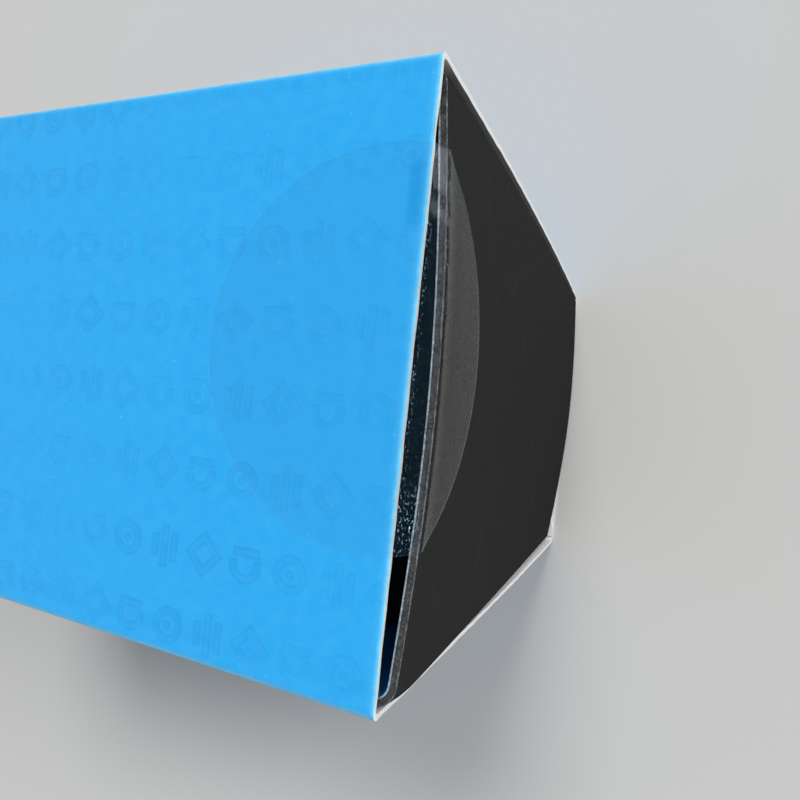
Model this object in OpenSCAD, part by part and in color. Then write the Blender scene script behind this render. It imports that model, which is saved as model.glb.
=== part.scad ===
// A sleeved presentation carton: a printed sleeve, an open inner box that slides in it,
// a card insert inside that box, and a round film seal folded over the sleeve's open end.
// Millimetres. +X runs along the sleeve to the sealed end, +Z is up, and the origin is at
// the centre of the underside.

/* [Sleeve] */
// Length of the sleeve, along X
sleeve_l = 110; // [80:1:180]
// Width of the sleeve, along Y
sleeve_w = 48; // [36:1:80]
// Height of the sleeve, along Z
sleeve_h = 81; // [60:1:120]
// Thickness of the sleeve's paperboard
sleeve_board = 0.45; // [0.3:0.05:0.8]
// Outside radius of the sleeve's folded corners
sleeve_fold_r = 0.8; // [0.8:0.1:2]
// Width of the glue flap, lapped inside the bottom panel
glue_flap_w = 12; // [8:1:20]
// How far the +Y side panel bulges outwards halfway up
left_bulge = 0.9; // [0:0.1:1.5]
// How far the -Y side panel bulges outwards halfway up
right_bulge = 0.3; // [0:0.1:1.5]

/* [Inner box] */
// Thickness of the inner box's board
box_board = 0.7; // [0.4:0.05:1.2]
// Outside radius, at the rim, of the +Y corner at the sealed end and of the one across from it
soft_corner_r = 1.4; // [0.9:0.1:4]
// Outside radius of the other two corners at the rim
tight_corner_r = 1.8; // [0.9:0.1:4]
// Outside radius of all four upright corners lower down
low_corner_r = 0.9; // [0.8:0.1:1.5]
// Distance below the rim in which the corners tighten to that radius
corner_settle = 5; // [2:1:30]
// Outside radius of the fold between the floor and the walls
box_floor_r = 0.9; // [0.8:0.1:1.5]
// How far the end walls bow outwards between their corners
end_bow = 1.35; // [0:0.05:2]
// How far the end walls stand out past the sleeve's cut edges, at the rim
rim_out = 0.55; // [0:0.05:0.8]
// How much further out the rim stands at its -Y corner than at its +Y one
rim_skew = 1; // [-1:0.1:1]
// How far the end walls stand back from the sleeve's cut edges, at the foot
foot_back = 0.35; // [0:0.05:1.5]
// How much further back the foot stands at its -Y corner than at its +Y one
foot_skew = 1; // [-1:0.1:1]
// Gap between the inner box and the sleeve on each side
side_gap = 0.25; // [0.2:0.05:0.8]
// How much less the inner box's side walls bulge than the sleeve's side panels
bulge_play = 0.1; // [0.05:0.05:0.5]
// Gap between the rim and the underside of the sleeve's top panel
rim_gap = 0.45; // [0.3:0.05:1.5]
// Gap between the inner box's floor and the glue flap
floor_gap = 0.1; // [0.05:0.05:0.5]

/* [Insert] */
// Thickness of the insert's card
insert_board = 0.5; // [0.3:0.05:0.8]
// Depth of the insert's deck below the rim
deck_drop = 14; // [8:1:20]
// Outside radius of the folds between the deck and its legs
deck_fold_r = 1; // [0.9:0.1:2]
// Radius of the deck's corners, beside the folds
deck_corner_r = 3; // [2:0.5:5]
// Width of deck left beside each of the two legs
leg_side = 7.2; // [5:0.1:12]
// Gap between the insert and the inner box all round
insert_gap = 0.35; // [0.2:0.05:0.8]
// Gap between the legs and the inner box's floor
stand_gap = 0.05; // [0.02:0.01:0.1]
// Length of the well that holds the goods
well_l = 62; // [40:1:66]
// Width of deck left on each side of the well
well_side = 7.2; // [5:0.1:12]
// Depth of the well below the deck
well_depth = 32; // [15:1:36]
// Radius of the well's corners
well_r = 5; // [2:0.5:8]
// Width of the rim by which the well is glued under the deck
well_flange_w = 4; // [1:0.5:5]

/* [Seal] */
// Diameter of the round film seal
seal_d = 30; // [20:1:36]
// Thickness of the film
film_t = 0.1; // [0.05:0.01:0.15]
// Distance of the seal's centre inside the sleeve's cut edge
seal_inset = 2.9; // [0:0.1:6]
// Distance of the seal's centre to the +Y side of the middle
seal_offset = 2.4; // [-5:0.1:5]
// Gap between the film and what it lies on
film_gap = 0.05; // [0.02:0.01:0.1]
// Width left free for the fold between the two halves of the seal
film_fold_gap = 0.3; // [0.3:0.05:0.5]
// How far the film stands off the rim where it turns down
turn_gap = 0.2; // [0.15:0.05:0.4]
// Distance below the rim in which the film settles on to the end wall
film_settle = 2.5; // [1.5:0.1:4]

/* [Hidden] */
$fn = 96;

// The cut in a tool's path past a face, so that no two faces of a cut lie together
overcut = 1;

sleeve_end = sleeve_l / 2;
sleeve_in_w = sleeve_w - 2 * sleeve_board;

// Inner box: the flap lies between its floor and the sleeve's bottom panel
box_z0 = 2 * sleeve_board + floor_gap;
box_rim_z = sleeve_h - sleeve_board - rim_gap;
box_h = box_rim_z - box_z0;
box_w = sleeve_in_w - 2 * side_gap;

// Steps round each bulge, corner, bowed wall, wall height and fold
bulge_steps = 16;
corner_steps = 6;
bow_steps = 12;
wall_steps = 16;
fold_steps = 4;

// Insert: it stands on the inner box's floor, clear of its walls at their foot
floor_z = box_z0 + box_board;
deck_top_z = box_rim_z - deck_drop;
foot_corner_x = sleeve_end - foot_back - abs(foot_skew) / 2;
insert_l = 2 * (foot_corner_x - box_board - insert_gap);
insert_w = box_w - 2 * box_board - 2 * insert_gap;
leg_h = deck_top_z - floor_z - stand_gap;
leg_w = insert_w - 2 * leg_side;
well_w = insert_w - 2 * well_side;

// Seal: film_mid_z is the middle of the film that lies on the top panel
seal_r = seal_d / 2;
film_mid_z = sleeve_h + film_gap + film_t / 2;
tail_l = seal_r - seal_inset;
tail_rows = 30;
tail_cols = 16;
// The last row of the tail stops just short of the circle's end, where its chord is nil
tail_stop = 0.99;

// Distance of the +X end wall's outer face from the middle, at place y and height z.
// The other end is the same, turned half a turn about Z.
function end_face_x(y, z) =
    let (
        up = (z - box_z0) / box_h,
        across = 2 * y / box_w,
        foot = -foot_back + foot_skew / 2 * across,
        rim = rim_out - rim_skew / 2 * across
    )
    sleeve_end + foot * (1 - up) + rim * up + end_bow * cos(90 * across);

// A point of a ring at end side (+1 or -1) and place y, moved back and inset
function ring_point(side, y, back, z, inset) =
    [side * (end_face_x(side * y, z) - back - inset), y, z];

// The outside radius of the corner at end side and hand (+1 is +Y), at height z
function corner_r(side, hand, z) =
    let (
        near_rim = max(0, 1 - (box_rim_z - z) / corner_settle),
        rim_r = side * hand > 0 ? soft_corner_r : tight_corner_r
    )
    low_corner_r + (rim_r - low_corner_r) * near_rim * near_rim;

// The least radius that an inset corner keeps
least_r = 0.1;
function inset_r(side, hand, z, inset) = max(corner_r(side, hand, z) - inset, least_r);

// How far the side wall on hand +1 or -1 bulges outwards at height z
function side_bulge(hand, z) =
    let (
        low = box_z0 + box_floor_r,
        t = (2 * z - low - box_rim_z) / (box_rim_z - low),
        rise = max(0, (hand > 0 ? left_bulge : right_bulge) - bulge_play)
    )
    rise * max(0, 1 - t * t);

// The place along Y of the centre of a corner's arc
function corner_y(side, hand, z, inset) =
    hand * (box_w / 2 + side_bulge(hand, z) - inset - inset_r(side, hand, z, inset));

// The arc round the corner at end side and hand, from angle start, at height z
function corner_points(side, hand, start, z, inset) =
    let (r = inset_r(side, hand, z, inset))
    [for (i = [0 : corner_steps])
        let (
            a = start + 90 * i / corner_steps,
            y = corner_y(side, hand, z, inset) + r * sin(a)
        )
        ring_point(side, y, r * (1 - abs(cos(a))), z, inset)];

// The end wall between two corner arcs, on side +1 or -1
function end_run(side, z, inset) =
    let (
        first = corner_y(side, -side, z, inset),
        last = corner_y(side, side, z, inset)
    )
    [for (i = [1 : bow_steps - 1])
        ring_point(side, first + (last - first) * i / bow_steps, 0, z, inset)];

// One closed ring, anticlockwise from the +X end wall
function ring(z, inset) = concat(
    end_run(1, z, inset),
    corner_points(1, 1, 0, z, inset),
    corner_points(-1, 1, 90, z, inset),
    end_run(-1, z, inset),
    corner_points(-1, -1, 180, z, inset),
    corner_points(1, -1, 270, z, inset));

// Height and inset of each ring: up the outside, over the rim, and down the inside
outer_fold = [for (i = [0 : fold_steps])
    let (a = 90 * (1 - i / fold_steps))
    [box_z0 + box_floor_r * (1 - sin(a)), box_floor_r * (1 - cos(a))]];
outer_wall = [for (i = [1 : wall_steps])
    [box_z0 + box_floor_r + (box_h - box_floor_r) * i / wall_steps, 0]];
inner_wall = [for (i = [0 : wall_steps])
    [box_rim_z - (box_h - box_board) * i / wall_steps, box_board]];

module ring_loft(profile) {
    rings = [for (p = profile) ring(p[0], p[1])];
    n = len(rings[0]);
    last = len(rings) - 1;
    points = [for (r = rings) each r];
    skin = [for (k = [0 : last - 1], i = [0 : n - 1])
        let (a = k * n + i, b = k * n + (i + 1) % n)
        each [[a, a + n, b], [b, a + n, b + n]]];
    foot = [[for (i = [0 : n - 1]) i]];
    top = [[for (i = [0 : n - 1]) last * n + n - 1 - i]];
    polyhedron(points, concat(foot, skin, top));
}

module rounded_rect(l, w, r) {
    square([l - 2 * r, w], center = true);
    square([l, w - 2 * r], center = true);
    for (x = [-1, 1], y = [-1, 1])
        translate([x * (l / 2 - r), y * (w / 2 - r)])
            circle(r);
}

// An outline in the YZ plane, run along X
module along_x(l) {
    rotate([90, 0, 90])
        linear_extrude(l, center = true)
            children();
}

// Points up a side panel's face, bulged outwards on side +1 or -1 of an outline of width w
function panel_points(side, w, h, rise) =
    [for (i = [0 : bulge_steps])
        let (t = side * (2 * i / bulge_steps - 1))
        [side * (w / 2 + rise * (1 - t * t)), t * h / 2]];

// The outline of the sleeve, inset by a board's thickness or by nothing
module sleeve_outline(inset) {
    w = sleeve_w - 2 * inset;
    h = sleeve_h - 2 * inset;
    r = sleeve_fold_r - inset;
    straight_h = sleeve_h - 2 * sleeve_fold_r;
    polygon(concat(
        panel_points(1, w, straight_h, left_bulge),
        panel_points(-1, w, straight_h, right_bulge)));
    square([w - 2 * r, h], center = true);
    for (y = [-1, 1], z = [-1, 1])
        translate([y * (w / 2 - r), z * straight_h / 2])
            circle(r);
}

module outer_sleeve() {
    color([0.22, 0.65, 0.94])
        along_x(sleeve_l) {
            translate([0, sleeve_h / 2])
                difference() {
                    sleeve_outline(0);
                    sleeve_outline(sleeve_board);
                }
            translate([-sleeve_in_w / 2 + sleeve_fold_r, 0])
                square([glue_flap_w, 2 * sleeve_board]);
        }
}

module inner_box() {
    color([0.1, 0.1, 0.1])
        ring_loft(concat(outer_fold, outer_wall, inner_wall));
}

module insert_deck() {
    color([0.16, 0.16, 0.17]) {
        translate([0, 0, deck_top_z - insert_board])
            linear_extrude(insert_board)
                difference() {
                    rounded_rect(insert_l - 2 * deck_fold_r, insert_w, deck_corner_r);
                    rounded_rect(well_l, well_w, well_r);
                }
        for (side = [0, 180])
            rotate([0, 0, side])
                deck_leg();
    }
}

// One leg, with the quarter-round fold that joins it to the deck
module deck_leg() {
    translate([insert_l / 2 - deck_fold_r, leg_w / 2, deck_top_z - deck_fold_r])
        rotate([90, 0, 0])
            quarter_fold();
    translate([insert_l / 2 - insert_board, -leg_w / 2, floor_z + stand_gap])
        cube([insert_board, leg_w, leg_h - deck_fold_r]);
}

module quarter_fold() {
    linear_extrude(leg_w)
        intersection() {
            difference() {
                circle(deck_fold_r);
                circle(deck_fold_r - insert_board);
            }
            square(deck_fold_r);
        }
}

module insert_well() {
    under_deck_z = deck_top_z - insert_board;
    color([0.13, 0.13, 0.14]) {
        translate([0, 0, under_deck_z - insert_board])
            linear_extrude(insert_board)
                difference() {
                    rounded_rect(
                        well_l + 2 * well_flange_w,
                        well_w + 2 * well_flange_w,
                        well_r + well_flange_w
                    );
                    rounded_rect(well_l, well_w, well_r);
                }
        translate([0, 0, under_deck_z - well_depth])
            difference() {
                linear_extrude(well_depth)
                    rounded_rect(
                        well_l + 2 * insert_board,
                        well_w + 2 * insert_board,
                        well_r + insert_board
                    );
                translate([0, 0, insert_board])
                    linear_extrude(well_depth + overcut)
                        rounded_rect(well_l, well_w, well_r);
            }
    }
}

module seal_top() {
    color([0.9, 0.95, 1, 0.4])
        translate([0, 0, sleeve_h + film_gap])
            intersection() {
                translate([sleeve_end - seal_inset, seal_offset, 0])
                    cylinder(r = seal_r, h = film_t);
                translate([sleeve_end - film_fold_gap / 2 - seal_d, seal_offset - seal_d, -overcut])
                    cube([seal_d, 2 * seal_d, 3 * overcut]);
            }
}

// The middle of the film where it turns down, outside the rim's top edge
turn_z = box_rim_z + film_gap + film_t / 2 + turn_gap / 2;
function turn_x(y) = wall_film_x(y, turn_z);

// The middle of the film on the end wall, which it meets a little way below the turn
function wall_film_x(y, z) =
    let (loose = max(0, 1 - (turn_z - z) / film_settle))
    end_face_x(y, z) + film_gap + film_t / 2 + turn_gap * loose * loose;

// The middle of the film at distance s past the cut edge and place y, and its normal
function film_at(s, y) =
    let (
        run = turn_x(y) - sleeve_end,
        fall = film_mid_z - turn_z,
        bridge = sqrt(run * run + fall * fall),
        z = turn_z - (s - bridge)
    )
    s < bridge
    ? [[sleeve_end + run * s / bridge, y, film_mid_z - fall * s / bridge],
       [fall / bridge, 0, run / bridge]]
    : [[wall_film_x(y, z), y, z], [1, 0, 0]];

function half_chord(s) = sqrt(seal_r * seal_r - (s + seal_inset) * (s + seal_inset));

function tail_s(i) = film_fold_gap / 2 + (tail_l * tail_stop - film_fold_gap / 2) * i / tail_rows;

// One face of the tail, on side +1 (outer) or -1 (inner) of the film's middle
function tail_face(side) =
    [for (i = [0 : tail_rows], j = [0 : tail_cols])
        let (
            s = tail_s(i),
            y = seal_offset + half_chord(s) * (2 * j / tail_cols - 1),
            p = film_at(s, y)
        )
        p[0] + p[1] * side * film_t / 2];

module seal_tail() {
    cols = tail_cols + 1;
    sheet = (tail_rows + 1) * cols;
    outer = [for (i = [0 : tail_rows - 1], j = [0 : tail_cols - 1])
        let (a = i * cols + j)
        each [[a, a + 1, a + cols], [a + 1, a + cols + 1, a + cols]]];
    inner = [for (t = outer) [t[0] + sheet, t[2] + sheet, t[1] + sheet]];
    edge = concat(
        [for (j = [0 : tail_cols - 1]) [j, j + 1]],
        [for (i = [0 : tail_rows - 1]) [i * cols + tail_cols, (i + 1) * cols + tail_cols]],
        [for (j = [tail_cols : -1 : 1]) [tail_rows * cols + j, tail_rows * cols + j - 1]],
        [for (i = [tail_rows : -1 : 1]) [i * cols, (i - 1) * cols]]);
    rim = [for (e = edge) each [[e[1], e[0], e[0] + sheet], [e[1], e[0] + sheet, e[1] + sheet]]];
    color([0.9, 0.95, 1, 0.4])
        polyhedron(concat(tail_face(1), tail_face(-1)), concat(outer, inner, rim));
}

outer_sleeve();
inner_box();
insert_deck();
insert_well();
seal_top();
seal_tail();
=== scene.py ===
"""Looks of a sleeved carton: a printed sleeve, an inner box, a card insert and a film seal.

Units are metres. +X runs along the sleeve to the sealed end and +Z is up.
"""

import math

import bpy
import numpy as np
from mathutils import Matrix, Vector


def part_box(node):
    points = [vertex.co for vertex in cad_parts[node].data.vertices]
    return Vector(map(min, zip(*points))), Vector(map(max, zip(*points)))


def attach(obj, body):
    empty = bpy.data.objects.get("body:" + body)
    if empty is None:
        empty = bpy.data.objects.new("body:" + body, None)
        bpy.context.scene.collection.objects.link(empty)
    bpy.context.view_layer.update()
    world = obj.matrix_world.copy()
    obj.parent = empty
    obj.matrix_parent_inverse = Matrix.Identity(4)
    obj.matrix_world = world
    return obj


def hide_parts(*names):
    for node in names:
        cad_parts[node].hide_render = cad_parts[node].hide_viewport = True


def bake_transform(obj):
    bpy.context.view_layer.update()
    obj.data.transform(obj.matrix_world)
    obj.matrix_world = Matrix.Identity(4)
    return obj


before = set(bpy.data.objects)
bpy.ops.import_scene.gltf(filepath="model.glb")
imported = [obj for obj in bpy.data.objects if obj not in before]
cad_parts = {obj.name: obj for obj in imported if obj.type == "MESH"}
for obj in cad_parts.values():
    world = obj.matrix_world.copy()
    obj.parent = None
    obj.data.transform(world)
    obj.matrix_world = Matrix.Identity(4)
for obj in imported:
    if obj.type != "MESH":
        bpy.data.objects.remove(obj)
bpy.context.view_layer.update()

MM = 0.001
rng = np.random.default_rng(7)

# ---------------------------------------------------------------- sizes, as in the CAD model

sleeve_low, sleeve_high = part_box("outer_sleeve")
box_low, box_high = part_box("inner_box")

SLEEVE_HALF_W = 24 * MM
SLEEVE_BOARD = 0.45 * MM
SLEEVE_FOLD_R = 0.8 * MM
FLAP_W = 12 * MM
SLEEVE_END = sleeve_high.x
SLEEVE_H = sleeve_high.z
LEFT_BULGE = sleeve_high.y - SLEEVE_HALF_W
RIGHT_BULGE = -sleeve_low.y - SLEEVE_HALF_W

BOX_BOARD = 0.7 * MM
BOX_HALF_W = 23.3 * MM
BOX_Z0 = box_low.z
RIM_Z = box_high.z
SOFT_R = 1.4 * MM
TIGHT_R = 1.8 * MM
LOW_R = 0.9 * MM
CORNER_SETTLE = 5 * MM
FLOOR_R = 0.9 * MM
END_BOW = 1.35 * MM
RIM_OUT = 0.55 * MM
RIM_SKEW = 1.0 * MM
FOOT_BACK = 0.35 * MM
FOOT_SKEW = 1.0 * MM
BULGE_PLAY = 0.1 * MM

CARD = 0.5 * MM
SEAL_R = 15 * MM
SEAL_INSET = 2.9 * MM
SEAL_OFFSET = 2.4 * MM
FILM_T = 0.05 * MM
FILM_GAP = 0.05 * MM
TURN_GAP = 0.2 * MM
FILM_SETTLE = 2.5 * MM

# ---------------------------------------------------------------- camera

LENS = 27.06
# Place of the camera from the middle of the top panel's cut edge
CAMERA_OUT = 16.1 * MM
CAMERA_ASIDE = -2.2 * MM
CAMERA_UP = 39.05 * MM
CAMERA_TILT = (1.30, 23.03, 5.51)


def add_camera():
    data = bpy.data.cameras.new("camera")
    data.lens = LENS
    data.sensor_width = 36
    data.clip_start = 0.001
    camera = bpy.data.objects.new("camera", data)
    bpy.context.scene.collection.objects.link(camera)
    camera.rotation_mode = "ZYX"
    camera.location = (SLEEVE_END + CAMERA_OUT, CAMERA_ASIDE, SLEEVE_H + CAMERA_UP)
    camera.rotation_euler = [math.radians(a) for a in CAMERA_TILT]
    bpy.context.scene.camera = camera


add_camera()

# ---------------------------------------------------------------- node materials

SHEET_MAP = "sheet"
SHEET_UNIT = 300.0  # millimetres of sheet for one unit of the map


class Shader:
    """A material's node tree with one Principled shader, and short calls to add nodes."""

    def __init__(self, name, color, roughness):
        self.material = bpy.data.materials.new(name)
        self.material.use_nodes = True
        self.material.diffuse_color = (*color, 1)
        self.tree = self.material.node_tree
        self.tree.nodes.clear()
        self.out = self.tree.nodes.new("ShaderNodeOutputMaterial")
        self.surface = self.tree.nodes.new("ShaderNodeBsdfPrincipled")
        self.surface.inputs["Base Color"].default_value = (*color, 1)
        self.surface.inputs["Roughness"].default_value = roughness
        self.link(self.surface.outputs[0], self.out.inputs["Surface"])

    def link(self, source, target):
        self.tree.links.new(source, target)

    def node(self, kind, inputs=(), **settings):
        made = self.tree.nodes.new(kind)
        for key, value in settings.items():
            setattr(made, key, value)
        for key, value in dict(inputs).items():
            if isinstance(value, bpy.types.NodeSocket):
                self.link(value, made.inputs[key])
            else:
                made.inputs[key].default_value = value
        return made

    def math(self, operation, *values):
        return self.node("ShaderNodeMath", enumerate(values), operation=operation).outputs[0]

    def coordinates(self):
        """Place in the piece's own coordinates, in metres."""
        return self.node("ShaderNodeTexCoord").outputs["Object"]

    def noise(self, scale, detail=2.0, roughness=0.5, stretch=None):
        """Noise with features about 1/scale metres wide, over object coordinates."""
        at = self.coordinates()
        if stretch:
            at = self.node("ShaderNodeMapping", {"Vector": at, "Scale": stretch}).outputs[0]
        inputs = {"Vector": at, "Scale": scale, "Detail": detail, "Roughness": roughness}
        return self.node("ShaderNodeTexNoise", inputs).outputs[0]

    def span(self, value, low, high, to_low=0.0, to_high=1.0):
        """value from low..high to to_low..to_high, clamped."""
        inputs = {0: value, 1: low, 2: high, 3: to_low, 4: to_high}
        return self.node("ShaderNodeMapRange", inputs).outputs[0]

    def mix(self, factor, a, b):
        """Colour between a and b. Each may be a plain colour or a socket."""
        made = self.node("ShaderNodeMix", data_type="RGBA")
        for key, value in ((0, factor), (6, a), (7, b)):
            if isinstance(value, bpy.types.NodeSocket):
                self.link(value, made.inputs[key])
            elif key == 0:
                made.inputs[key].default_value = value
            else:
                made.inputs[key].default_value = (*value, 1)
        return made.outputs[2]

    def bump(self, height, distance, strength=1.0, normal=None):
        inputs = {"Height": height, "Distance": distance, "Strength": strength}
        if normal:
            inputs["Normal"] = normal
        return self.node("ShaderNodeBump", inputs).outputs[0]

    def attribute(self, name):
        return self.node("ShaderNodeAttribute", attribute_name=name).outputs["Fac"]

    def sheet(self):
        """Place on the flat sheet that a piece is folded from, in millimetres, as two sockets."""
        uv = self.node("ShaderNodeUVMap", uv_map=SHEET_MAP).outputs[0]
        split = self.node("ShaderNodeSeparateXYZ", {0: uv})
        return (
            self.math("MULTIPLY", split.outputs[0], SHEET_UNIT),
            self.math("MULTIPLY", split.outputs[1], SHEET_UNIT),
        )


# The faint printed motif: rows of plain marks, each in a cell of its own, in millimetres
ROW_PITCH = 6.3
CELL_PITCH = 4.1
ROW_SHIFT = 2.9
MARK_SIZE = 1.15
STROKE = 0.30
STROKE_FADE = 0.12
OUTLINE = 0.16
DASH_PLACE = 0.9
# Place and half length of each bar in a mark of three bars
BARS = ((-1.0, 0.6), (0.0, 1.4), (1.0, 0.9))


def motif(s):
    """Distance from the middle of the nearest mark's stroke, in millimetres of sheet."""
    u, v = s.sheet()
    wobble = s.noise(170.0, 1.0)
    v = s.math("ADD", v, s.math("MULTIPLY", wobble, 0.5))
    row = s.math("FLOOR", s.math("DIVIDE", v, ROW_PITCH))
    shifted = s.math("ADD", u, s.math("MULTIPLY", row, ROW_SHIFT))
    column = s.math("FLOOR", s.math("DIVIDE", shifted, CELL_PITCH))
    cell_x = s.math("MULTIPLY_ADD", column, -CELL_PITCH, -CELL_PITCH / 2)
    cell_y = s.math("MULTIPLY_ADD", row, -ROW_PITCH, -ROW_PITCH / 2)
    x, y = s.math("ADD", shifted, cell_x), s.math("ADD", v, cell_y)
    ax, ay = s.math("ABSOLUTE", x), s.math("ABSOLUTE", y)
    radius = s.math("SQRT", s.math("ADD", s.math("MULTIPLY", x, x), s.math("MULTIPLY", y, y)))
    from_ring = s.math("ABSOLUTE", s.math("SUBTRACT", radius, MARK_SIZE))

    ring = s.math("MINIMUM", from_ring, radius)
    tilt = s.math("MULTIPLY", s.math("ADD", ax, ay), math.sqrt(0.5))
    diamond = s.math("ABSOLUTE", s.math("SUBTRACT", tilt, MARK_SIZE * 0.85))
    arc = s.math("MAXIMUM", from_ring, s.math("MULTIPLY", y, -1.0))
    below = s.math("ABSOLUTE", s.math("ADD", y, DASH_PLACE))
    dash = s.math("MAXIMUM", below, s.math("SUBTRACT", ax, DASH_PLACE))
    arcs = s.math("MINIMUM", arc, dash)
    bars = None
    for place, half in BARS:
        across = s.math("ABSOLUTE", s.math("SUBTRACT", x, place))
        bar = s.math("MAXIMUM", across, s.math("SUBTRACT", ay, half))
        bars = bar if bars is None else s.math("MINIMUM", bars, bar)

    pick = s.math("FLOORED_MODULO", s.math("ADD", column, s.math("MULTIPLY", row, 2.0)), 4.0)
    distance = ring
    for number, mark in ((1.0, bars), (2.0, diamond), (3.0, arcs)):
        chosen = s.math("COMPARE", pick, number, 0.1)
        step = s.math("MULTIPLY", s.math("SUBTRACT", mark, distance), chosen)
        distance = s.math("ADD", distance, step)
    return distance


BLUE = (0.014, 0.385, 0.850)
BLUE_MARK = (0.010, 0.325, 0.755)
# Lighter blue for the random mottle, for rubbed print, and for the painted highlight on folds and cut ends
BLUE_WEAR_AND_SHEEN = (0.26, 0.76, 0.94)
BLUE_SPECK = (0.6, 0.85, 1.0)
PAPER_WHITE = (0.86, 0.86, 0.84)


def printed_blue():
    """Satin blue print with the faint motif in varnish, board grain, dust, and lighter folds and cut ends:
    rubbed print, partly a painted highlight.
    """
    s = Shader("sleeve_print", BLUE, 0.42)
    distance = motif(s)
    inside = s.span(distance, STROKE, STROKE + STROKE_FADE, 1.0, 0.0)
    from_rim = s.math("ABSOLUTE", s.math("SUBTRACT", distance, STROKE))
    rim = s.span(from_rim, 0.0, OUTLINE, 1.0, 0.0)
    patchy = s.span(s.noise(55.0, 3.0), 0.35, 0.65, 0.25, 1.0)
    tone = s.math("MULTIPLY_ADD", rim, 0.60, s.math("MULTIPLY", inside, 0.42))
    color = s.mix(s.math("MULTIPLY", tone, patchy), BLUE, BLUE_MARK)
    mottle = s.noise(900.0, 4.0, 0.6)
    color = s.mix(s.span(mottle, 0.35, 0.75, 0.0, 0.06), color, BLUE_WEAR_AND_SHEEN)
    specks = s.span(s.noise(3800.0, 0.0), 0.875, 0.890)
    color = s.mix(s.math("MULTIPLY", specks, 0.45), color, BLUE_SPECK)
    # Lighter towards folds and cut ends: rubbed print, and a painted highlight where they catch light
    uneven = s.span(s.noise(1500.0, 3.0), 0.2, 0.7, 0.45, 1.0)
    wear_and_sheen = s.math("MULTIPLY", s.attribute("wear_and_edge_sheen"), uneven)
    color = s.mix(wear_and_sheen, color, BLUE_WEAR_AND_SHEEN)
    s.link(color, s.surface.inputs["Base Color"])
    rough = s.math("MULTIPLY_ADD", mottle, 0.10, s.math("MULTIPLY", inside, -0.05))
    s.link(s.math("ADD", rough, 0.38), s.surface.inputs["Roughness"])
    grain = s.bump(s.noise(1400.0, 5.0, 0.6), 0.015 * MM, 0.4)
    wave = s.bump(s.noise(110.0, 1.0), 0.06 * MM, 0.3, grain)
    s.link(s.bump(inside, 0.012 * MM, 0.6, wave), s.surface.inputs["Normal"])
    return s.material


# Painted shade: a dark tone on the lining beside the box, in place of the shade in the crevice there
CREVICE_SHADE = (0.045, 0.045, 0.044)


def bare_board(name, color, contrast):
    """Uncoated board or a raw cut edge: fibres, pulp specks, and painted crevice shade by a weight that
    the piece carries.
    """
    s = Shader(name, color, 0.85)
    fibre = s.noise(2200.0, 5.0, 0.7, stretch=(1.0, 1.0, 3.0))
    pulp = s.noise(5200.0, 3.0, 0.6)
    dark = tuple(c * (1 - contrast) for c in color)
    light = tuple(min(1.0, c * (1 + 0.6 * contrast)) for c in color)
    tone = s.mix(s.span(fibre, 0.35, 0.65), dark, color)
    tone = s.mix(s.span(pulp, 0.52, 0.68), tone, light)
    s.link(s.mix(s.attribute("painted_crevice_shade"), tone, CREVICE_SHADE), s.surface.inputs["Base Color"])
    s.link(s.bump(fibre, 0.05 * MM, 0.8), s.surface.inputs["Normal"])
    return s.material


INK = (0.0075, 0.0075, 0.0070)
INK_RUBBED = (0.020, 0.020, 0.019)
GLOSS_SHARE = 0.045


def coated_black():
    """Satin black print over board, with its slight waviness, grain and scuffs.

    The gloss is a set share, because full Fresnel would whiten the wall when seen at a slant.
    """
    s = Shader("box_print", INK, 0.9)
    s.surface.inputs["Specular IOR Level"].default_value = 0.0
    fine = s.noise(1800.0, 4.0, 0.6)
    scuff = s.noise(420.0, 5.0, 0.72, stretch=(1.0, 0.35, 1.0))
    color = s.mix(s.span(scuff, 0.55, 0.8, 0.0, 0.5), INK, INK_RUBBED)
    s.link(color, s.surface.inputs["Base Color"])
    wave = s.bump(s.noise(130.0, 2.0), 0.08 * MM, 0.3)
    relief = s.bump(fine, 0.006 * MM, 0.4, wave)
    s.link(relief, s.surface.inputs["Normal"])
    rough = s.span(fine, 0.2, 0.8, 0.22, 0.32)
    gloss = s.node("ShaderNodeBsdfGlossy", {"Roughness": rough, "Normal": relief})
    inputs = {0: GLOSS_SHARE, 1: s.surface.outputs[0], 2: gloss.outputs[0]}
    s.link(s.node("ShaderNodeMixShader", inputs).outputs[0], s.out.inputs["Surface"])
    return s.material


def lining_blue():
    """The blue print on the inside of the inner box."""
    s = Shader("box_lining", (0.03, 0.40, 0.86), 0.5)
    mottle = s.noise(1200.0, 4.0, 0.6)
    color = s.mix(s.span(mottle, 0.3, 0.7), (0.028, 0.37, 0.82), (0.045, 0.43, 0.90))
    s.link(color, s.surface.inputs["Base Color"])
    s.link(s.bump(mottle, 0.015 * MM, 0.5), s.surface.inputs["Normal"])
    return s.material


def black_card():
    """Matt black card with its fibres."""
    s = Shader("insert_card", (0.022, 0.022, 0.024), 0.6)
    fibre = s.noise(1500.0, 5.0, 0.7)
    color = s.mix(s.span(fibre, 0.3, 0.7), (0.018, 0.018, 0.020), (0.030, 0.030, 0.032))
    s.link(color, s.surface.inputs["Base Color"])
    s.link(s.bump(fibre, 0.03 * MM, 0.6), s.surface.inputs["Normal"])
    return s.material


# Share of light that each face of the film mirrors head on, and what a full slant adds
FILM_MIRROR = 0.005
FILM_MIRROR_SLANT = 0.20
# Colour of the light that each face lets through, where the glue holds and where it has let go
FILM_CLEAR = (0.990, 0.986, 0.987)
FILM_LOOSE = (0.88, 0.945, 0.960)
# Colours of the painted blue light over the dark gap, in place of light off the blue inside, and of the
# dust caught in the glue
GAP_LIGHT_BLUE = (0.05, 0.50, 0.95)
DUST = (0.72, 0.88, 0.96)


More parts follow.
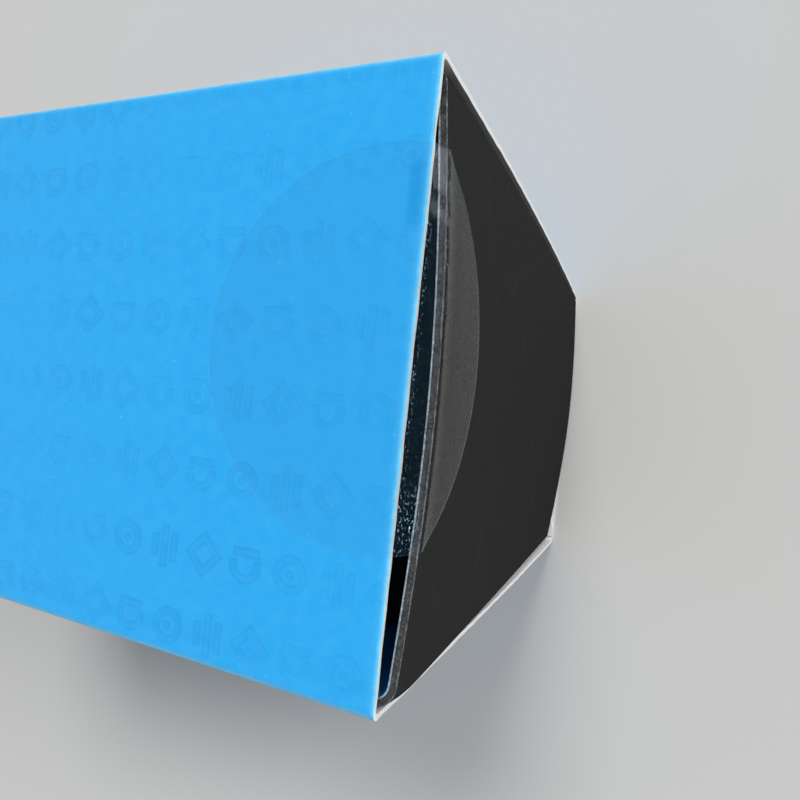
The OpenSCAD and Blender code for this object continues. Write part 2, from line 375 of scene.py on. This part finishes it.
def clear_film():
    """Clear film: what is behind it, a mirror that strengthens at a slant, dust in its glue, and painted
    blue light over the gap.
    """
    s = Shader("seal_film", (1.0, 1.0, 1.0), 0.10)
    s.surface.inputs["Metallic"].default_value = 1.0
    clear = s.node("ShaderNodeBsdfTransparent")
    stuck = s.mix(s.attribute("loose"), FILM_CLEAR, FILM_LOOSE)
    s.link(stuck, clear.inputs["Color"])
    facing = s.node("ShaderNodeLayerWeight").outputs["Facing"]
    mirror = s.math("MULTIPLY_ADD", s.math("POWER", facing, 5.0), FILM_MIRROR_SLANT, FILM_MIRROR)
    inputs = {0: mirror, 1: clear.outputs[0], 2: s.surface.outputs[0]}
    mixed = s.node("ShaderNodeMixShader", inputs)
    fleck = s.span(s.noise(8000.0, 3.0, 0.75, stretch=(1.0, 0.45, 1.0)), 0.60, 0.67)
    dust_and_gap_light_color = s.mix(fleck, GAP_LIGHT_BLUE, DUST)
    # One diffuse layer for the dust and for the painted blue light over the gap
    dust = s.node("ShaderNodeBsdfPrincipled", {"Base Color": dust_and_gap_light_color, "Roughness": 0.7})
    dust_and_gap_light = s.math("MULTIPLY_ADD", fleck, s.attribute("dust"), s.attribute("painted_gap_light"))
    inputs = {0: dust_and_gap_light, 1: mixed.outputs[0], 2: dust.outputs[0]}
    s.link(s.node("ShaderNodeMixShader", inputs).outputs[0], s.out.inputs["Surface"])
    ripple = s.bump(s.noise(260.0, 2.0), 0.03 * MM, 0.3)
    s.link(ripple, s.surface.inputs["Normal"])
    return s.material


def film_edge():
    """The film's cut edge, which gathers light."""
    s = Shader("seal_edge", (0.50, 0.68, 0.78), 0.35)
    s.surface.inputs["Alpha"].default_value = 0.22
    return s.material


MATERIALS = {
    "print": printed_blue(),
    "white": bare_board("board_white", PAPER_WHITE, 0.14),
    "raw": bare_board("board_edge", (0.93, 0.95, 0.94), 0.12),
    "black": coated_black(),
    "lining": lining_blue(),
    "liner": bare_board("inner_liner_edge", (0.32, 0.41, 0.46), 0.65),
    "outer_liner": bare_board("outer_liner_edge", (0.15, 0.17, 0.18), 0.70),
    "core": bare_board("core_edge", (0.068, 0.070, 0.073), 0.80),
    "card": black_card(),
    "card_edge": bare_board("card_edge", (0.16, 0.155, 0.15), 0.4),
    "film": clear_film(),
    "film_edge": film_edge(),
}

# ---------------------------------------------------------------- mesh helpers

SHARP_ANGLE = math.radians(50)


def make_piece(name, points, faces, slots, indices, body, replaced=(), smooth=True):
    """A mesh object that rides on body. indices gives each face's place in slots."""
    mesh = bpy.data.meshes.new(name)
    mesh.from_pydata([tuple(p) for p in points], [], faces)
    for key in slots:
        mesh.materials.append(MATERIALS[key])
    mesh.polygons.foreach_set("material_index", np.asarray(indices, np.int32))
    mesh.polygons.foreach_set("use_smooth", np.full(len(faces), smooth))
    mesh.update()
    mesh.set_sharp_from_angle(angle=SHARP_ANGLE)
    piece = bpy.data.objects.new(name, mesh)
    bpy.context.scene.collection.objects.link(piece)
    if body:
        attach(piece, body)
    if replaced:
        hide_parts(*replaced)
    return piece


def grid_faces(rows, columns, wrap_rows, wrap_columns):
    """Quads of a grid of points stored row by row, and the row that each starts on."""
    faces, on_row = [], []
    for i in range(rows if wrap_rows else rows - 1):
        for j in range(columns if wrap_columns else columns - 1):
            a, b = i * columns, (i + 1) % rows * columns
            k = (j + 1) % columns
            faces.append((a + j, a + k, b + k, b + j))
            on_row.append(i)
    return faces, on_row


def set_sheet_map(piece, places):
    """Writes each point's place on the flat sheet, in millimetres, to the sheet map."""
    mesh = piece.data
    layer = mesh.uv_layers.new(name=SHEET_MAP)
    loops = np.zeros(len(mesh.loops), np.int32)
    mesh.loops.foreach_get("vertex_index", loops)
    places = np.asarray(places)[loops] / SHEET_UNIT
    layer.data.foreach_set("uv", places.astype(np.float32).ravel())


def set_weight(piece, name, values):
    """Stores one number for each point, which the materials read by name."""
    layer = piece.data.attributes.new(name, "FLOAT", "POINT")
    layer.data.foreach_set("value", np.asarray(values, np.float32))


def ragged(count, size, soft):
    """A closed run of small random steps, softened over a few neighbours."""
    steps = rng.normal(0.0, 1.0, count)
    kernel = np.hanning(soft + 2)[1:-1]
    kernel /= np.sqrt((kernel**2).sum())
    wrapped = np.concatenate([steps[-soft:], steps, steps[:soft]])
    return size * np.convolve(wrapped, kernel, "same")[soft:-soft]


# ---------------------------------------------------------------- outer sleeve

STEP = 0.55 * MM
FOLD_STEPS = 6
# The shallow dip that scoring leaves on each side of a fold
SCORE_DEPTH = 0.05 * MM
SCORE_PLACE = 1.5 * MM
SCORE_WIDTH = 0.5 * MM
# How uneven a cut end is, over a few points and from point to point
CUT_UNEVEN = 0.018 * MM
CUT_BURR = 0.012 * MM
# How far a cut end is set back, to make room for its unevenness
CUT_BACK = 0.02 * MM
# How far the lighter band reaches from a cut end and from a fold: rubbed print, and a painted highlight
# where they catch light
END_WEAR_AND_SHEEN = 0.40 * MM
FOLD_WEAR_AND_SHEEN = 0.30 * MM
# How far the painted shade on the lining reaches in from the sealed end, the height over which it fades
# out below the top, and its share
SHADE_REACH = 1.1 * MM
SHADE_FADE = 3 * MM
SHADE_SHARE = 0.75


def sleeve_outline():
    """Outline of the folded tube in the YZ plane: points, outward normals, distance run and fold wear."""
    half_w, r = SLEEVE_HALF_W, SLEEVE_FOLD_R
    flat_w, flat_h = 2 * (half_w - r), SLEEVE_H - 2 * r
    mid_z = SLEEVE_H / 2
    points, normals = [], []

    def panel(start, along, outward, length, rise):
        count = round(length / STEP)
        for i in range(count):
            t = i / count
            bulge = rise * (1 - (2 * t - 1) ** 2)
            slope = rise * -4 * (2 * t - 1) / length
            points.append(start + along * t * length + outward * bulge)
            normal = outward - along * slope
            normals.append(normal / np.linalg.norm(normal))

    def fold(centre, from_angle):
        for i in range(FOLD_STEPS):
            a = math.radians(from_angle + 90 * i / FOLD_STEPS)
            normal = np.array([math.cos(a), math.sin(a)])
            points.append(centre + normal * r)
            normals.append(normal)

    y, z = half_w - r, mid_z - r
    panel(np.array([-y, 0.0]), np.array([1.0, 0]), np.array([0, -1.0]), flat_w, 0.0)
    fold(np.array([y, mid_z - z]), -90)
    panel(np.array([half_w, r]), np.array([0, 1.0]), np.array([1.0, 0]), flat_h, LEFT_BULGE)
    fold(np.array([y, mid_z + z]), 0)
    panel(np.array([y, SLEEVE_H]), np.array([-1.0, 0]), np.array([0, 1.0]), flat_w, 0.0)
    fold(np.array([-y, mid_z + z]), 90)
    down = np.array([0, -1.0])
    panel(np.array([-half_w, SLEEVE_H - r]), down, np.array([-1.0, 0]), flat_h, RIGHT_BULGE)
    fold(np.array([-y, mid_z - z]), 180)
    points, normals = np.array(points), np.array(normals)
    run = np.concatenate([[0], np.cumsum(np.linalg.norm(np.diff(points, axis=0), axis=1))])
    return points, normals, run, flat_w, flat_h


def stations(length, step, edge):
    """Places from -length/2 to +length/2, closer together near both ends."""
    near = np.array([0.0, 0.06, 0.15, 0.35, 0.8, 1.6]) * edge
    middle = np.linspace(-length / 2 + near[-1] + step, length / 2 - near[-1] - step, round(length / step))
    return np.concatenate([-length / 2 + near, middle, (length / 2 - near)[::-1]])


def build_sleeve():
    outline, normals, run, flat_w, flat_h = sleeve_outline()
    count = len(outline)
    quarter = SLEEVE_FOLD_R * math.pi / 2
    folds = np.cumsum([flat_w + quarter / 2, quarter + flat_h, quarter + flat_w, quarter + flat_h])
    from_fold = np.abs(run[:, None] - folds[None, :]).min(axis=1)
    dip = SCORE_DEPTH * np.exp(-(((from_fold - SCORE_PLACE) / SCORE_WIDTH) ** 2))

    beside_box = (outline[:, 0] > SLEEVE_HALF_W - SLEEVE_FOLD_R).astype(float)
    beside_box *= np.clip((SLEEVE_H - outline[:, 1]) / SHADE_FADE, 0.0, 1.0)

    xs = stations(2 * SLEEVE_END, 1.6 * MM, 1.0 * MM)
    # Each ring is its place along X and its depth in the board; the last ring meets the first
    ring_list = [(x, 0.0, "print") for x in xs[:-1]] + [(xs[-1], 0.0, "raw")]
    ring_list += [(xs[-1], f, "raw") for f in (0.12, 0.5, 0.88)] + [(xs[-1], 1.0, "white")]
    ring_list += [(x, 1.0, "white") for x in xs[::-1][1:-1]] + [(xs[0], 1.0, "raw")]
    ring_list += [(xs[0], f, "raw") for f in (0.88, 0.5, 0.12)]

    cut = {+1: ragged(count, CUT_UNEVEN, 5), -1: ragged(count, CUT_UNEVEN, 5)}
    burr = {+1: ragged(count, CUT_BURR, 2), -1: ragged(count, CUT_BURR, 2)}
    rows, keys, sheet_rows, wear_and_sheen_rows, shade_rows = [], [], [], [], []
    for x, depth, key in ring_list:
        side = 1 if x > 0 else -1
        at_end = abs(abs(x) - SLEEVE_END) < 1e-9
        inset = depth * SLEEVE_BOARD + dip * (1 - depth)
        place = outline - normals * inset[:, None]
        along = np.full(count, x)
        if at_end:
            along = along + side * (cut[side] - CUT_BACK)
            if 0.3 < depth < 0.7:
                along = along + side * burr[side]
        rows.append(np.column_stack([along, place]))
        keys.append(key)
        sheet_rows.append(np.column_stack([along / MM + 60, run / MM]))
        # Lighter band near the cut ends and folds: rubbed print, and a painted highlight where they catch
        # light
        near_end = max(0.0, 1 - (SLEEVE_END - abs(x)) / END_WEAR_AND_SHEEN)
        fold_sheen_and_wear = 0.8 * np.exp(-((from_fold / FOLD_WEAR_AND_SHEEN) ** 2))
        wear_and_sheen_rows.append(np.maximum(fold_sheen_and_wear, near_end) * (1 - depth))
        # Painted shade on the lining beside the box near the sealed end, where the crevice between box and
        # sleeve is in shade
        from_end = (SLEEVE_END - x) / SHADE_REACH
        shade_rows.append(SHADE_SHARE * (depth == 1.0) * beside_box * math.exp(-(from_end**4)))
    faces, on_row = grid_faces(len(rows), count, True, True)
    slots = ["print", "raw", "white"]
    indices = [slots.index(keys[i]) for i in on_row]
    piece = make_piece(
        "printed_sleeve", np.concatenate(rows), [f[::-1] for f in faces], slots, indices,
        "sleeve", ["outer_sleeve"],
    )
    set_sheet_map(piece, np.concatenate(sheet_rows))
    set_weight(piece, "wear_and_edge_sheen", np.concatenate(wear_and_sheen_rows))
    set_weight(piece, "painted_crevice_shade", np.concatenate(shade_rows))


build_sleeve()

FLAP_CUT_BACK = 3.5 * MM


def build_flap():
    """The glue flap inside the bottom panel, with its corners cut back."""
    low_y = -SLEEVE_HALF_W + SLEEVE_BOARD + SLEEVE_FOLD_R
    across = np.concatenate([[0, 0.02, 0.1], np.linspace(0.2, 0.95, 10), [0.985, 1.0]])
    xs = stations(2 * SLEEVE_END, 2.5 * MM, 1.0 * MM)
    rows = []
    for t in across:
        cut_back = FLAP_CUT_BACK * max(0.0, t - 0.1)
        ring = []
        for x in xs:
            ring.append((x * (1 - cut_back / SLEEVE_END), low_y + FLAP_W * t, 2 * SLEEVE_BOARD))
        for x in xs[::-1]:
            ring.append((x * (1 - cut_back / SLEEVE_END), low_y + FLAP_W * t, SLEEVE_BOARD * 0.98))
        rows.append(ring)
    count = len(rows[0])
    faces, _ = grid_faces(len(rows), count, False, True)
    indices = [1 if f[0] % count in (len(xs) - 1, count - 1) else 0 for f in faces]
    last = (len(rows) - 1) * count
    faces += [tuple(range(count))[::-1], tuple(last + j for j in range(count))]
    indices += [1, 1]
    points = [p for ring in rows for p in ring]
    faces = [f[::-1] for f in faces]
    make_piece(
        "glue_flap", points, faces, ["white", "raw"], indices, "sleeve", (), False
    )


build_flap()

# ---------------------------------------------------------------- inner box

END_STEPS = 60
CORNER_STEPS = 12
SIDE_STEPS = 70
LEAST_R = 0.1 * MM
# From the end of the sleeve back to where the long wall's points start
SIDE_BACK = 4 * MM
# The rim's raw edge from outside to inside: part of the board, height in millimetres, and layer
RIM_LAYERS = (
    (0.03, 0.0, "outer_liner"),
    (0.15, 0.0, "core"),
    (0.22, -0.05, "core"),
    (0.5, -0.04, "core"),
    (0.76, -0.05, "core"),
    (0.80, 0.0, "liner"),
    (0.97, 0.0, "liner"),
)


def end_face_x(y, z):
    """Distance of the +X end wall's outer face from the middle, as in the CAD model."""
    up = (z - BOX_Z0) / (RIM_Z - BOX_Z0)
    across = y / BOX_HALF_W
    foot = -FOOT_BACK + FOOT_SKEW / 2 * across
    rim = RIM_OUT - RIM_SKEW / 2 * across
    return SLEEVE_END + foot * (1 - up) + rim * up + END_BOW * np.cos(np.pi / 2 * across)


def corner_radius(side, hand, z, inset):
    """Radius of the upright corner at end side and hand, at height z and inset from the outside."""
    rim_r = SOFT_R if side * hand > 0 else TIGHT_R
    near_rim = max(0.0, 1 - (RIM_Z - z) / CORNER_SETTLE)
    return max(LOW_R + (rim_r - LOW_R) * near_rim**2 - inset, LEAST_R)


def side_bulge(hand, z):
    """How far the box's long wall on hand +1 or -1 stands out at height z."""
    low = BOX_Z0 + FLOOR_R
    t = (2 * z - low - RIM_Z) / (RIM_Z - low)
    rise = (LEFT_BULGE if hand > 0 else RIGHT_BULGE) - BULGE_PLAY
    return rise * max(0.0, 1 - t * t)


def corner_middle(side, hand, z, inset):
    return hand * (BOX_HALF_W + side_bulge(hand, z) - inset - corner_radius(side, hand, z, inset))


def box_ring(z, inset):
    """One closed ring of the box's wall at height z, inset from its outer face."""
    points = []

    def end(side):
        first, last = (corner_middle(side, hand, z, inset) for hand in (-side, side))
        for t in np.linspace(0, 1, END_STEPS + 1)[1:-1]:
            y = first + (last - first) * t
            points.append((side * (end_face_x(side * y, z) - inset), y))

    def corner(side, hand, start):
        r = corner_radius(side, hand, z, inset)
        for i in range(CORNER_STEPS + 1):
            a = math.radians(start + 90 * i / CORNER_STEPS)
            y = corner_middle(side, hand, z, inset) + r * math.sin(a)
            back = r * (1 - abs(math.cos(a)))
            points.append((side * (end_face_x(side * y, z) - back - inset), y))

    def long_side(hand):
        reach = SLEEVE_END - SIDE_BACK
        y = hand * (BOX_HALF_W + side_bulge(hand, z) - inset)
        for t in np.linspace(0, 1, SIDE_STEPS):
            points.append((hand * reach * (1 - 2 * t), y))

    end(1)
    corner(1, 1, 0)
    long_side(1)
    corner(-1, 1, 90)
    end(-1)
    corner(-1, -1, 180)
    long_side(-1)
    corner(1, -1, 270)
    return points


def build_box():
    board = BOX_BOARD
    profile = []
    for i in range(7):
        a = math.radians(90 * (1 - i / 6))
        profile.append((BOX_Z0 + FLOOR_R * (1 - math.sin(a)), FLOOR_R * (1 - math.cos(a)), "black"))
    wall = np.linspace(BOX_Z0 + FLOOR_R, RIM_Z - 0.4 * MM, 46)[1:]
    profile += [(z, 0.0, "black") for z in wall]
    profile += [(RIM_Z - 0.08 * MM, 0.0, "black"), (RIM_Z - 0.03 * MM, 0.0, "outer_liner")]
    profile += [(RIM_Z + dz * MM, f * board, key) for f, dz, key in RIM_LAYERS]
    profile += [(RIM_Z - 0.03 * MM, board, "lining")]
    inner = np.linspace(RIM_Z - 0.3 * MM, BOX_Z0 + board, 40)
    profile += [(z, board, "lining") for z in inner]

    count = len(box_ring(RIM_Z, 0.0))
    rough_cut = {"liner": ragged(count, 0.020 * MM, 2), "core": ragged(count, 0.05 * MM, 1)}
    rough_cut["outer_liner"] = rough_cut["liner"]
    drift = ragged(count, 0.010 * MM, 9)
    rows, keys = [], []
    for z, inset, key in profile:
        ring = np.array(box_ring(z, inset))
        height = np.full(count, z)
        if z > RIM_Z - 0.07 * MM and 0 < inset < board:
            height = height + rough_cut[key] + drift - 0.02 * MM
        rows.append(np.column_stack([ring, height]))
        keys.append(key)
    faces, on_row = grid_faces(len(rows), count, False, True)
    slots = ["black", "outer_liner", "core", "liner", "lining"]
    indices = [slots.index(keys[i]) for i in on_row]
    last = (len(rows) - 1) * count
    faces.append(tuple(range(count))[::-1])
    indices.append(0)
    faces.append(tuple(last + j for j in range(count)))
    indices.append(slots.index("lining"))
    make_piece(
        "open_box", np.concatenate(rows), faces, slots, indices, "box", ["inner_box"]
    )


build_box()

# ---------------------------------------------------------------- insert


def dress_insert():
    """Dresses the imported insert, which has the right shape, in black card.

    Bare card shows on the feet and on the cut rims at the top of the deck and of the well. It also
    shows on the legs' outer faces and on the well's underside, and the legs' cut sides stay black.
    """
    for name in ("insert_deck", "insert_well"):
        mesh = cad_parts[name].data
        mesh.materials.clear()
        mesh.materials.append(MATERIALS["card"])
        mesh.materials.append(MATERIALS["card_edge"])
        low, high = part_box(name)
        for face in mesh.polygons:
            corners = [mesh.vertices[i].co for i in face.vertices]
            bottom, top = (pick(c.z for c in corners) for pick in (min, max))
            end = abs(face.normal.x) > 0.9 and high.x - abs(face.center.x) < CARD
            foot = face.normal.z < -0.9 and top < low.z + CARD / 2
            cutout = abs(face.normal.z) < 0.1 and bottom > high.z - 1.2 * CARD
            if end or foot or cutout:
                face.material_index = 1


dress_insert()

# ---------------------------------------------------------------- seal

FILM_ROWS = 180
FILM_COLUMNS = 90
# A patch near the cut edge where the glue has let go, from the middle of the edge
PATCH_S = -0.95 * MM
PATCH_Y = 13.6 * MM
PATCH_SIZE = (0.6 * MM, 2.4 * MM)
# Small folds where the film is pulled tight across the gap: depth, and radians of wave for each metre
PULL_DEPTH = 0.05 * MM
PULL_WAVES = (2100, 760)
# Place and width, past the cut edge, of the line of dust beside it and of the gap, which holds dust and
# painted light
DUST_LINE = (0.22 * MM, 0.13 * MM)
GAP_DUST_AND_LIGHT = (0.8 * MM, 0.9 * MM)
# Place across, width and share of the dusty patch at the gap's -Y end
END_DUST = (-9.8 * MM, 1.9 * MM, 0.8)
GAP_DUST_SHARE = 0.05
# Share of the painted blue light over the gap
GAP_LIGHT_SHARE = 0.0055


def looseness(s, y):
    """1 in the loose patch and 0 away from it."""
    return math.exp(-(((s - PATCH_S) / PATCH_SIZE[0]) ** 6) - ((y - PATCH_Y) / PATCH_SIZE[1]) ** 6)


def film_place(s, y):
    """Middle of the film at distance s past the sleeve's cut edge and place y, and its normal."""
    top_z = SLEEVE_H + FILM_GAP + FILM_T / 2
    if s <= 0:
        return (SLEEVE_END + s, y, top_z), (0, 0, 1)
    turn_z = RIM_Z + FILM_GAP + FILM_T / 2 + TURN_GAP / 2
    turn_x = end_face_x(y, turn_z) + FILM_GAP + FILM_T / 2 + TURN_GAP
    run, fall = turn_x - SLEEVE_END, top_z - turn_z
    bridge = math.hypot(run, fall)
    pull = PULL_DEPTH * math.sin(min(1.0, s / bridge) * math.pi)
    pull *= math.sin(y * PULL_WAVES[0]) * math.sin(y * PULL_WAVES[1] + 1.0)
    if s < bridge:
        t = s / bridge
        z = top_z - fall * t - PULL_DEPTH + pull
        return (SLEEVE_END + run * t, y, z), (fall / bridge, 0, run / bridge)
    z = turn_z - (s - bridge)
    loose = max(0.0, 1 - (turn_z - z) / FILM_SETTLE)
    x = end_face_x(y, z) + FILM_GAP + FILM_T / 2 + TURN_GAP * loose * loose
    return (x, y, z), (1, 0, 0)


def build_film():
    outer, inner, dust, painted_gap_light, loose = [], [], [], [], []
    for i in range(FILM_ROWS + 1):
        angle = math.pi * (0.02 + 0.96 * i / FILM_ROWS)
        s = -SEAL_INSET - SEAL_R * math.cos(angle)
        half = SEAL_R * math.sin(angle)
        for j in range(FILM_COLUMNS + 1):
            y = SEAL_OFFSET + half * (2 * j / FILM_COLUMNS - 1)
            place, normal = film_place(s, y)
            place, normal = np.array(place), np.array(normal)
            outer.append(place + normal * FILM_T / 2)
            inner.append(place - normal * FILM_T / 2)
            past_edge = float(s > 0)
            beside_edge = math.exp(-(((s - DUST_LINE[0]) / DUST_LINE[1]) ** 2))
            over_gap = math.exp(-(((s - GAP_DUST_AND_LIGHT[0]) / GAP_DUST_AND_LIGHT[1]) ** 4))
            at_end = END_DUST[2] * math.exp(-(((y - END_DUST[0]) / END_DUST[1]) ** 2))
            dust.append(past_edge * max(beside_edge, GAP_DUST_SHARE * over_gap, over_gap * at_end))
            # Painted blue light over the gap, in place of light off the blue inside
            painted_gap_light.append(past_edge * GAP_LIGHT_SHARE * over_gap)
            loose.append(looseness(s, y))
    rows, columns = FILM_ROWS + 1, FILM_COLUMNS + 1
    quads, _ = grid_faces(rows, columns, False, False)
    shift = len(outer)
    faces = [f[::-1] for f in quads] + [tuple(k + shift for k in f) for f in quads]
    indices = [0] * len(faces)
    border = list(range(columns))
    border += [i * columns + columns - 1 for i in range(1, rows)]
    border += [(rows - 1) * columns + j for j in range(columns - 2, -1, -1)]
    border += [i * columns for i in range(rows - 2, 0, -1)]
    for a, b in zip(border, border[1:] + border[:1]):
        faces.append((a, b, b + shift, a + shift))
        indices.append(1)
    piece = make_piece(
        "seal_film", outer + inner, faces, ["film", "film_edge"], indices, None,
        ["seal_top", "seal_tail"],
    )
    # Both faces of the film carry the same weights
    for name, values in (("dust", dust), ("painted_gap_light", painted_gap_light), ("loose", loose)):
        set_weight(piece, name, values + values)
    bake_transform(piece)


build_film()

# ---------------------------------------------------------------- stage and light

FLOOR_HALF = 40.0
FLOOR_COLOR = (0.56, 0.555, 0.54)
SKY_COLOR = (0.93, 0.96, 1.0)
SKY_STRENGTH = 0.40


def add_stage():
    mesh = bpy.data.meshes.new("floor")
    low, high = -FLOOR_HALF, FLOOR_HALF
    mesh.from_pydata([(low, low, 0), (high, low, 0), (high, high, 0), (low, high, 0)], [], [(0, 1, 2, 3)])
    floor = bpy.data.objects.new("floor", mesh)
    bpy.context.scene.collection.objects.link(floor)
    mesh.materials.append(Shader("floor", FLOOR_COLOR, 0.85).material)


def add_sun(name, towards, spread, strength, mirrored):
    """Soft light from one side of the sky. Unless mirrored, gloss doesn't show its source."""
    data = bpy.data.lights.new(name, "SUN")
    data.angle = math.radians(spread)
    data.energy = strength
    lamp = bpy.data.objects.new(name, data)
    bpy.context.scene.collection.objects.link(lamp)
    lamp.rotation_euler = Vector(towards).to_track_quat("-Z", "Y").to_euler()
    lamp.visible_glossy = mirrored


def add_world():
    world = bpy.data.worlds.new("studio")
    bpy.context.scene.world = world
    world.use_nodes = True
    background = world.node_tree.nodes["Background"]
    background.inputs["Color"].default_value = (*SKY_COLOR, 1)
    background.inputs["Strength"].default_value = SKY_STRENGTH


add_stage()
add_world()
add_sun("key", (-0.02, -0.60, -0.75), 20, 1.69, False)
add_sun("fill", (-0.62, -0.45, -0.51), 30, 1.50, True)
bpy.context.scene.view_settings.view_transform = "Standard"
